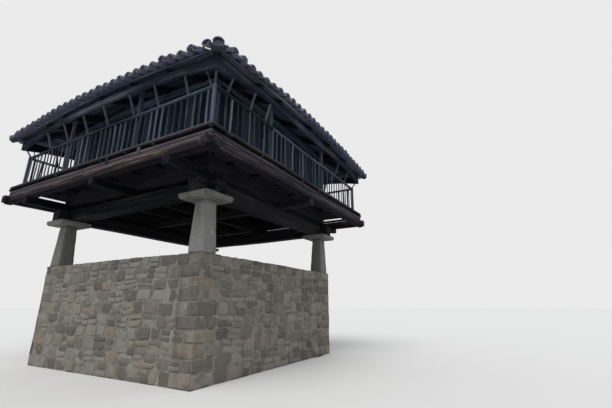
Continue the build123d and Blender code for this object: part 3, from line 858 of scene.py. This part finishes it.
run = wall_high.x
for side in ("front", "right", "left"):
    plank_wall(side, -run, run, side + "_planks", "wall_" + side)
door_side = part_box("wall_over_door")[1].x
plank_wall("back", -run, -door_side, "back_planks_left", "wall_back")
plank_wall("back", door_side, run, "back_planks_right", "wall_back")
plank_wall("back", -door_side, door_side, "planks_over_door", "wall_over_door")
leaf_low, leaf_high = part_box("door_leaf")
plank_wall("back", leaf_low.x, leaf_high.x, "door_planks", "door_leaf",
           line=-(leaf_low.y + leaf_high.y) / 2, depth=leaf_high.y - leaf_low.y)

# %% Boards of the gallery floor and the granary floor
floor_edge = floor_high.x
body_face = -wall_low.y


def boards(side, length, inner, outer, nominal):
    """Floor boards along one side between two lines, as one mesh."""
    z = (floor_low.z + floor_high.z) / 2
    places = []
    for y, width in split(-outer, -inner, nominal, 0.2):
        share = (width - plank_gap) / nominal
        places.append(turned(side) @ level(0, y, z + jitter(0.003), share))
    board = model_timber(length, nominal, floor_high.z - floor_low.z, 0.005, 14)
    return laid(board, places)


made = [boards(side, 2 * floor_edge, body_face, floor_edge, 0.22) for side in ("front", "back")]
made += [boards(side, 2 * body_face - 0.01, body_face, floor_edge, 0.22)
         for side in ("right", "left")]
# painted shade: the gallery boards take the near-black wood, for the shade under them
finished(made, "gallery_boards", "under", "dark_timber", "gallery_floor")

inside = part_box("granary_floor")[1].x
made = [boards("front", 2 * inside, -inside, inside, 0.26)]
# painted shade: the granary boards take the near-black wood, for the shade under them
finished(made, "granary_boards", "under", "dark_timber", "granary_floor")

# %% Fascia planks with cleats, and the strips on the edge of the floor
fascia_low, fascia_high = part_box("fascia_boards")
fascia_face = fascia_high.x
fascia_depth = 0.07
fascia_half = (fascia_high.z - fascia_low.z) / 2
# painted light: the front, where the light falls, is painted lighter than the other sides
painted_side_light = {"front": 0.85, "right": 0.55, "back": 0.6, "left": 0.5}
made = []
for side in sides:
    reach = fascia_face if side in ("front", "back") else fascia_face - 0.09
    for row, setback in ((0, 0.0), (1, 0.010)):
        plank = model_timber(2 * reach, fascia_depth, fascia_half - 0.014, 0.012, 16)
        z = fascia_low.z + fascia_half * (row + 0.5)
        place = turned(side) @ level(0, -fascia_face + fascia_depth / 2 + setback, z)
        made.append(laid(plank, [place]))
        tint(made[-1], painted_side_light[side])
cleats = [upright(x, -fascia_face - 0.006, fascia_high.z - 0.02, rng.uniform(0.9, 1.2),
                  jitter(0.04)) for x in (fascia_face - 2.15, fascia_face - 3.35)]
made.append(laid(model_timber(0.17, 0.08, 0.035, 0.008, 1), cleats))
finished(made, "fascia_planks", "fascia", "brown_log", "fascia_boards")

edge_low, edge_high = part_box("gallery_edge_boards")
edge_height = edge_high.z - edge_low.z
made = []
for side in sides:
    reach = edge_high.x if side in ("front", "back") else edge_high.x - 0.062
    cuts = [-reach, -reach * 0.35, reach * 0.42, reach]
    for low, high in zip(cuts, cuts[1:]):
        strip = model_timber(high - low - 0.012, 0.056, edge_height, 0.007, 6)
        place = level((low + high) / 2, -edge_high.x + 0.03, edge_low.z + edge_height / 2, 1,
                      jitter(0.002))
        made.append(laid(strip, [turned(side) @ place]))
        # painted light by side, as for the fascia planks
        tint(made[-1], painted_side_light[side])
finished(made, "floor_edge_strips", "fascia", "brown_log", "gallery_edge_boards")

# %% [markdown]
# ## Field stone in lime mortar
#
# The ground storey is rubble: field stones in rough courses, with squared stones that turn
# each corner, one way and then the other, and more beside the doorway. Stones thrown at
# random would leave holes and run into each other. So each course is divided into cells, and
# a rounded stone is stretched to fill each. One wave field then bends all the joints.

# %% Model a stone, and place it
wall_half, _, masonry_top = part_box("ground_wall_front")[1]
inside_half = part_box("ground_wall_right")[0].x
lintel_low, lintel_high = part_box("ground_door_lintel")
doorway_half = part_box("ground_wall_over_door")[1].x
stone_joint = 0.022
face_depth = 0.16
long_arm = 0.62
short_arm = 0.33
jambs = (0.48, 0.30)


def model_stone(number, squared=False):
    """An uneven stone, one metre each way: a field stone, or a squared block."""
    made = start_from(bpy.ops.mesh.primitive_cube_add, size=1)
    if squared:
        bpy.ops.mesh.bevel(offset=0.055, segments=2, affect="EDGES")
        select_mesh()
        bpy.ops.mesh.subdivide(number_cuts=1)
        roughen(0.018, number)
    else:
        bpy.ops.mesh.subdivide(number_cuts=2)
        bpy.ops.transform.tosphere(value=0.28)
        roughen(0.05, number)
    leave_edit()
    rows = points(made)
    move_points(made, (rows - rows.min(0)) / (rows.max(0) - rows.min(0)) - 0.5)
    return made


def stone_place(x0, x1, y0, y1, z0, z1):
    """The place of a stone that fills this box of the front, turned over at random."""
    middle = Vector((x0 + x1, y0 + y1, z0 + z1)) / 2
    size = (x1 - x0 - stone_joint, y1 - y0, z1 - z0 - stone_joint, 1)
    turn = spin(math.pi, rng.choice("XYZ"))
    return Matrix.Translation(middle) @ Matrix.Diagonal(size) @ turn


def face_stones(low, high, base, top, outer):
    """Places for the field stones in one course; some cells hold two flat stones."""
    for x, width in split(low, high, 0.40, 0.35):
        y = outer + jitter(0.008)
        middle = base + (top - base) * rng.uniform(0.4, 0.6)
        levels = (base, middle, top) if rng.random() < 0.45 else (base, top)
        for z0, z1 in zip(levels, levels[1:]):
            yield stone_place(x - width / 2, x + width / 2, y, y + face_depth, z0, z1)


# %% Divide the walls into courses and stones
courses = []
for low, high, nominal in ((0, lintel_low.z, 0.29), (lintel_low.z, lintel_high.z, 0.25),
                           (lintel_high.z, masonry_top + stone_joint / 2, 0.27)):
    courses += [(z - height / 2, z + height / 2) for z, height in split(low, high, nominal, 0.18)]


def stones_of(side, number):
    """Places for the field stones and the squared stones of one side."""
    field, squared = [], []
    for k, (base, top) in enumerate(courses):
        arm, back = (long_arm, short_arm) if (k + number) % 2 == 0 else (short_arm, long_arm)
        end = wall_half - arm
        squared.append(stone_place(end, wall_half, -wall_half, back - wall_half, base, top))
        opening = 0
        if side == "back" and top < lintel_low.z + 0.01:
            opening = doorway_half + jambs[k % 2]
            for x0, x1 in ((-opening, -doorway_half), (doorway_half, opening)):
                squared.append(stone_place(x0, x1, -wall_half, -inside_half, base, top))
        elif side == "back" and base < lintel_high.z - 0.01:
            opening = lintel_high.x
        for reach, outer in ((end, -wall_half), (inside_half, -inside_half - face_depth)):
            runs = ((-reach, -opening), (opening, reach)) if opening else ((-reach, reach),)
            for low, high in runs:
                field += face_stones(low, high, base, top, outer)
    return field, squared


def bend_joints(piece, side, phase):
    """Bend the joints between the field stones, but not the ends of the runs."""
    rows = points(piece)
    x, _, z = rows.T
    free = np.clip((wall_half - long_arm - abs(x)) / 0.3, 0, 1)
    if side == "back":
        free *= np.clip((abs(x) - doorway_half - jambs[0]) / 0.3, 0, 1)
    rows[:, 0] += 0.034 * free * np.sin(8.0 * z + 2.2 * x + phase)
    rise = np.sin(math.pi * z / masonry_top) * np.sin(3.4 * x + 1.8 * z + phase)
    rows[:, 2] += 0.030 * free * rise
    move_points(piece, rows)


def dealt(places, base_number, squared):
    """Deal the places out to four stone models by turns."""
    for k in range(4):
        yield laid(model_stone(base_number + k, squared), places[k::4])


for number, side in enumerate(sides):
    field, squared = stones_of(side, number)
    wall = "ground_wall_" + side
    over = ["ground_wall_over_door"] if side == "back" else []
    made = list(dealt(field, 10 * number, False))
    for piece in made:
        bend_joints(piece, side, 2.0 * number)
    carry(made, side)
    finished(made, "field_stones_" + side, "rubble", "rubble_stone", wall, *over, smooth=True)
    made = list(dealt(squared, 10 * number + 4, True))
    carry(made, side)
    finished(made, "squared_stones_" + side, "rubble", "rubble_stone", wall, smooth=True)

# %% [markdown]
# The mortar fills the walls behind the stones. It is a copy of the CAD wall, drawn back by
# two centimetres along its own normals. Its foot is then put back on the ground, and the
# ends of the side walls are pushed out again to meet the front and the back.

# %% The mortar behind the stones
mortar_setback = 0.022

for name in ("front", "right", "back", "left", "over_door"):
    node = "ground_wall_" + name
    core = worn_copy(node, 0.01, step=0.3, rough=0.007)
    edit(core)
    bpy.ops.transform.shrink_fatten(value=-mortar_setback, use_even_offset=True)
    leave_edit()
    rows = points(core)
    rows[rows[:, 2] < 2 * mortar_setback, 2] = 0
    if name in ("right", "left"):
        rows[:, 1] *= 1 + 1.8 * mortar_setback / inside_half
    move_points(core, rows)
    finished([core], "lime_mortar_" + name, "mortar", "rubble_stone", node)

# %% [markdown]
# ## Dressed stone
#
# Each pillar, capstone and the stone on top of the roof is one block that was cut square
# and has weathered since. A fine grid of cuts, a small random shift and one pass of
# smoothing turn the sharp CAD solids into old stone, and their size stays as it was.

# %% Pillars, capstones and apex stone
for node, *wear in (("stone_pillars", 0.022, 0.11, 0.008), ("capstones", 0.024, 0.08, 0.011),
                    ("apex_stone", 0.018, 0.07, 0.007)):
    block = worn_copy(node, *wear)
    edit(block)
    bpy.ops.mesh.vertices_smooth(factor=0.5, repeat=1)
    if node == "apex_stone":
        bpy.ops.transform.translate(value=(0, 0, -0.014))
    finished([block], "weathered_" + node, "block", "dressed_stone", node, smooth=True)

# %% [markdown]
# ## The bed of the roof
#
# Thin boards run along the eaves from hip to hip, and the tiles lie on them. The eaves hang
# lower at the corners, so the boards bend. Their height isn't worked out again: a ray that
# goes straight up meets the underside of the CAD roof, and that is where a board lies. The
# two lowest boards of each side weather most, above all under the worn tiles of the right
# side, so they are of a paler wood.

# %% Boards under the tiles
tile_mesh = nodes["roof_tiles"].data
roof_tree = BVHTree.FromPolygons([v.co for v in tile_mesh.vertices],
                                 [tuple(face.vertices) for face in tile_mesh.polygons])
eaves_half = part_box("roof_tiles")[1].x
hip_clearance = 0.012
roof_slope = math.atan(0.5)
worn_from_front = 1.3


def bed(x, out):
    """Height of the boards' upper side on the front slope, at x and that far out."""
    out = min(out, eaves_half - 0.001)
    inside_hip = out - hip_clearance
    x = max(-inside_hip, min(inside_hip, x))
    hit = roof_tree.ray_cast(Vector((x, -out, 0)), Vector((0, 0, 1)))[0]
    return hit.z


board_pitch = 0.17
board_level = 0.894
board_depth = 0.028


def roof_board(side, out, width):
    """A board along one side, mitred at both hips and bent to the bed of the tiles."""
    plank = model_timber(2 * out, width / board_level - 0.006, board_depth, 0.004, 11)
    x, across, up = points(plank).T
    y = across * math.cos(roof_slope) - up * math.sin(roof_slope)
    z = across * math.sin(roof_slope) + up * math.cos(roof_slope)
    x *= (out - y) / out
    sag = np.array([bed(at, out) for at in x])
    drop = board_depth / 2 / math.cos(roof_slope) + rng.uniform(0.001, 0.006)
    made = laid(plank, [Matrix.Identity(4)])
    move_points(made, np.column_stack([x, y - out, z + sag - drop]))
    carry([made], side)
    return made


inner, outer = [], []
for side in sides:
    run = split(0.12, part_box("roof_boards")[1].x, board_pitch, 0.12)
    made = [roof_board(side, out, width) for out, width in run]
    inner += made[:-2]
    for edge in made[:-3:-1]:
        x, y, _ = points(edge).T
        tint(edge, 0.25 + 0.9 * np.exp(-((y + worn_from_front) / 0.8)**2) * (x > 3.5))
        outer.append(edge)
finished(inner, "roof_boarding", "dark", "dark_timber", "roof_boards")
finished(outer, "eaves_edge_boards", "soffit", "dark_timber", "roof_boards")

# %% [markdown]
# ## Barrel tiles
#
# Each tile is a tapered half pipe of clay. Tiles with the hollow up make gutters down the
# slope, and tiles with the hollow down cover the gaps between them. Their round ends make
# the skyline of the eaves, where the covers lie double. A cylinder is opened, tapered and
# given its thickness once, and then laid in columns up each slope, with the errors of hand
# laying. Whatever passes a hip is cut off by a plane.

# %% Model one barrel tile
tile_radius = 0.102
tile_length = 0.47
tile_narrow = 0.80
tile_thickness = 0.015
tile_pitch = 0.30
tile_exposed = 0.385
slope_run = math.cos(roof_slope)


def model_tile(radius, length, narrow, rise):
    """A half pipe along Y, hollow below, with its wide end at -Y; rise is its height."""
    tile = start_from(bpy.ops.mesh.primitive_cylinder_add, vertices=20, radius=radius,
                      depth=length, end_fill_type="NOTHING", rotation=(math.pi / 2, 0, 0))
    bpy.ops.mesh.bisect(plane_co=(0, 0, radius - rise), plane_no=(0, 0, 1), clear_inner=True)
    leave_edit()
    rows = points(tile)
    size = np.where(rows[:, 1] > 0, narrow, 1)
    rows[:, 0] *= size
    rows[:, 2] = (rows[:, 2] - radius + rise) * size
    move_points(tile, rows)
    solid = tile.modifiers.new("clay", "SOLIDIFY")
    solid.thickness = tile_thickness
    solid.offset = -1
    bpy.ops.object.modifier_apply(modifier="clay")
    edit(tile)
    bpy.ops.mesh.normals_make_consistent(inside=False)
    leave_edit()
    return tile


# %% Lay the tiles in columns
cover_lift = 0.076
cover_rise = 0.088


def between(low, high, up, lift):
    """A place for a tile between two points on the bed; its ends stay plumb."""
    along = (high - low).normalized()
    plumb = Vector((0, 0, 1 / up.z))
    turn = Matrix((along.cross(up), along, plumb)).transposed().to_4x4()
    return Matrix.Translation((low + high) / 2 + plumb * lift) @ turn


def slope_place(x, out_low, out_high, lift, yaw, upside_down=False):
    """A place on the front slope for a tile with its ends that far out."""
    low = Vector((x, -out_low, bed(x, out_low)))
    high = Vector((x, -out_high, bed(x, out_high)))
    middle = (out_low + out_high) / 2
    across = Vector((0.2, 0, bed(x + 0.1, middle) - bed(x - 0.1, middle)))
    place = between(low, high, across.cross(high - low).normalized(), lift)
    over = spin(math.pi if upside_down else 0, "Y")
    return place @ spin(yaw, "Z") @ over


def columns(first, lift, moved, upside_down=False, courses=99, setback=0.0):
    """Places for the tiles of one kind on the front slope, from the eaves up. At the eaves
    some covers have moved: they lie higher or lower by that much, or have gone."""
    run_out = tile_exposed * slope_run
    half_out = tile_length * slope_run / 2
    count = int((eaves_half - first) / tile_pitch)
    for k in range(-count, count + 1):
        x = first + k * tile_pitch
        shy = setback + rng.uniform(0.0, 0.035)
        for course in range(courses):
            out = eaves_half - 0.022 - shy - half_out - course * run_out
            if out - half_out * 0.2 < abs(x) or out < half_out + 0.05:
                break
            jump = rng.uniform(-0.010, 0.004)
            raised = moved.get(k, 0) if course == 0 else 0
            place = slope_place(x + jitter(0.011), out + half_out + jump,
                                out - half_out + jump, lift + rng.uniform(0, 0.014) + (raised or 0),
                                jitter(0.045), upside_down)
            if raised is not None:
                yield place


moved_covers = {"front": {13: None, 12: 0.035, 9: 0.055},
                "right": {-14: 0.045, -13: 0.03, -11: -0.04, -10: -0.05, -9: -0.05, -8: -0.035}}

for side in sides:
    moved = moved_covers.get(side, {})
    cover = model_tile(tile_radius, tile_length, tile_narrow, cover_rise)
    under = model_tile(tile_radius * 0.94, tile_length, tile_narrow, cover_rise * 0.94)
    pan = model_tile(tile_radius, tile_length, 1 / tile_narrow, cover_rise * tile_narrow)
    kinds = [laid(cover, columns(0, cover_lift, moved)),
             laid(under, columns(0, cover_lift - 0.024, moved, courses=1, setback=0.014)),
             laid(pan, columns(tile_pitch / 2, cover_rise, {}, upside_down=True))]
    slope = joined(kinds, "slope")
    edit(slope)
    for sign in (-1, 1):
        select_mesh()
        bpy.ops.mesh.bisect(plane_co=(0, 0, 0), plane_no=(sign, 1, 0), clear_outer=True,
                            use_fill=True)
    leave_edit()
    if side == "front":
        # one cover has slid and lies askew on its neighbours, just left of the near corner
        cover = model_tile(tile_radius, tile_length * 0.7, tile_narrow, cover_rise)
        out = eaves_half - 0.22
        place = slope_place(out - 0.33, out + 0.1, out - 0.1, cover_lift + 0.055, math.radians(40))
        askew = place @ spin(math.radians(-12), "Y")
        slope = joined([slope, laid(cover, [askew])], "slope")
    carry([slope], side)
    x, y, _ = points(slope).T
    near = np.exp(-((y + worn_from_front) / 0.75)**2) * (side == "right")
    write_attribute(slope, "crust", near * np.clip((x - 3.6) / 0.5, 0, 1))
    finished([slope], "barrel_tiles_" + side, "tile", "clay_tile", "roof_tiles", smooth=True)

# %% [markdown]
# ## The hips
#
# Where two slopes meet, a row of wider tiles lies on a thick bed of mortar. It stands well
# above the rows beside it, and its end makes the blunt top of the near corner. The bed is a
# round bar, cut across so that it can be roughened, and drawn apart below.

# %% Hip tiles and their mortar
hip_radius = 0.125
hip_rise = 0.098
hip_lift = 0.060
hip_length = 0.46
hip_exposed = 0.36
hip_narrow = 0.84
mortar_radius = 0.098
mortar_cuts = 60
hip_foot = eaves_half - 0.015 - hip_radius / math.sqrt(2)
hip_head = 0.21


def hip_place(low_out, high_out, lift):
    """A place on the near hip between two distances out, and its length."""
    low = Vector((low_out, -low_out, bed(low_out, low_out)))
    high = Vector((high_out, -high_out, bed(high_out, high_out)))
    along = (high - low).normalized()
    up = (Vector((0, 0, 1)) - along * along.z).normalized()
    return between(low, high, up, lift), (high - low).length


def model_mortar(length):
    """A rough round bed along Y, wider below, that fills the hip tiles."""
    piece = start_from(bpy.ops.mesh.primitive_cylinder_add, vertices=14, radius=mortar_radius,
                       depth=length, rotation=(math.pi / 2, 0, 0))
    cut((0, 1, 0), [length * (k / mortar_cuts - 0.5) for k in range(1, mortar_cuts)])
    roughen(0.009, 7)
    leave_edit()
    rows = points(piece)
    x, y, z = rows.T
    x *= 1 + 1.3 * np.clip(-z / mortar_radius, 0, 1)
    y += 0.05 * (y < 0.1 - length / 2) * np.clip(z / mortar_radius, 0, 1)
    move_points(piece, rows)
    return piece


made, beds = [], []
for side in sides:
    places = []
    out = hip_foot
    hip_fall = hip_place(hip_foot, hip_head, 0)[1] / (hip_foot - hip_head)
    while out > hip_head + hip_length / hip_fall:
        place, _ = hip_place(out, out - hip_length / hip_fall, hip_lift + rng.uniform(0, 0.008))
        places.append(place @ spin(jitter(0.03), "Z"))
        out -= hip_exposed / hip_fall * rng.uniform(0.95, 1.03)
    hips = laid(model_tile(hip_radius, hip_length, hip_narrow, hip_rise), places)
    place, length = hip_place(out, hip_head, hip_lift)
    last = laid(model_tile(hip_radius, length, hip_narrow, hip_rise), [place])
    place, length = hip_place(hip_foot - 0.015, hip_head, hip_lift - 0.014)
    beds.append(laid(model_mortar(length), [place]))
    carry([hips, last, beds[-1]], side)
    made += [hips, last]
finished(made, "hip_cover_tiles", "tile", "clay_tile", "hip_tiles", smooth=True)
finished(beds, "hip_mortar", "roof_mortar", "clay_tile", "hip_tiles")
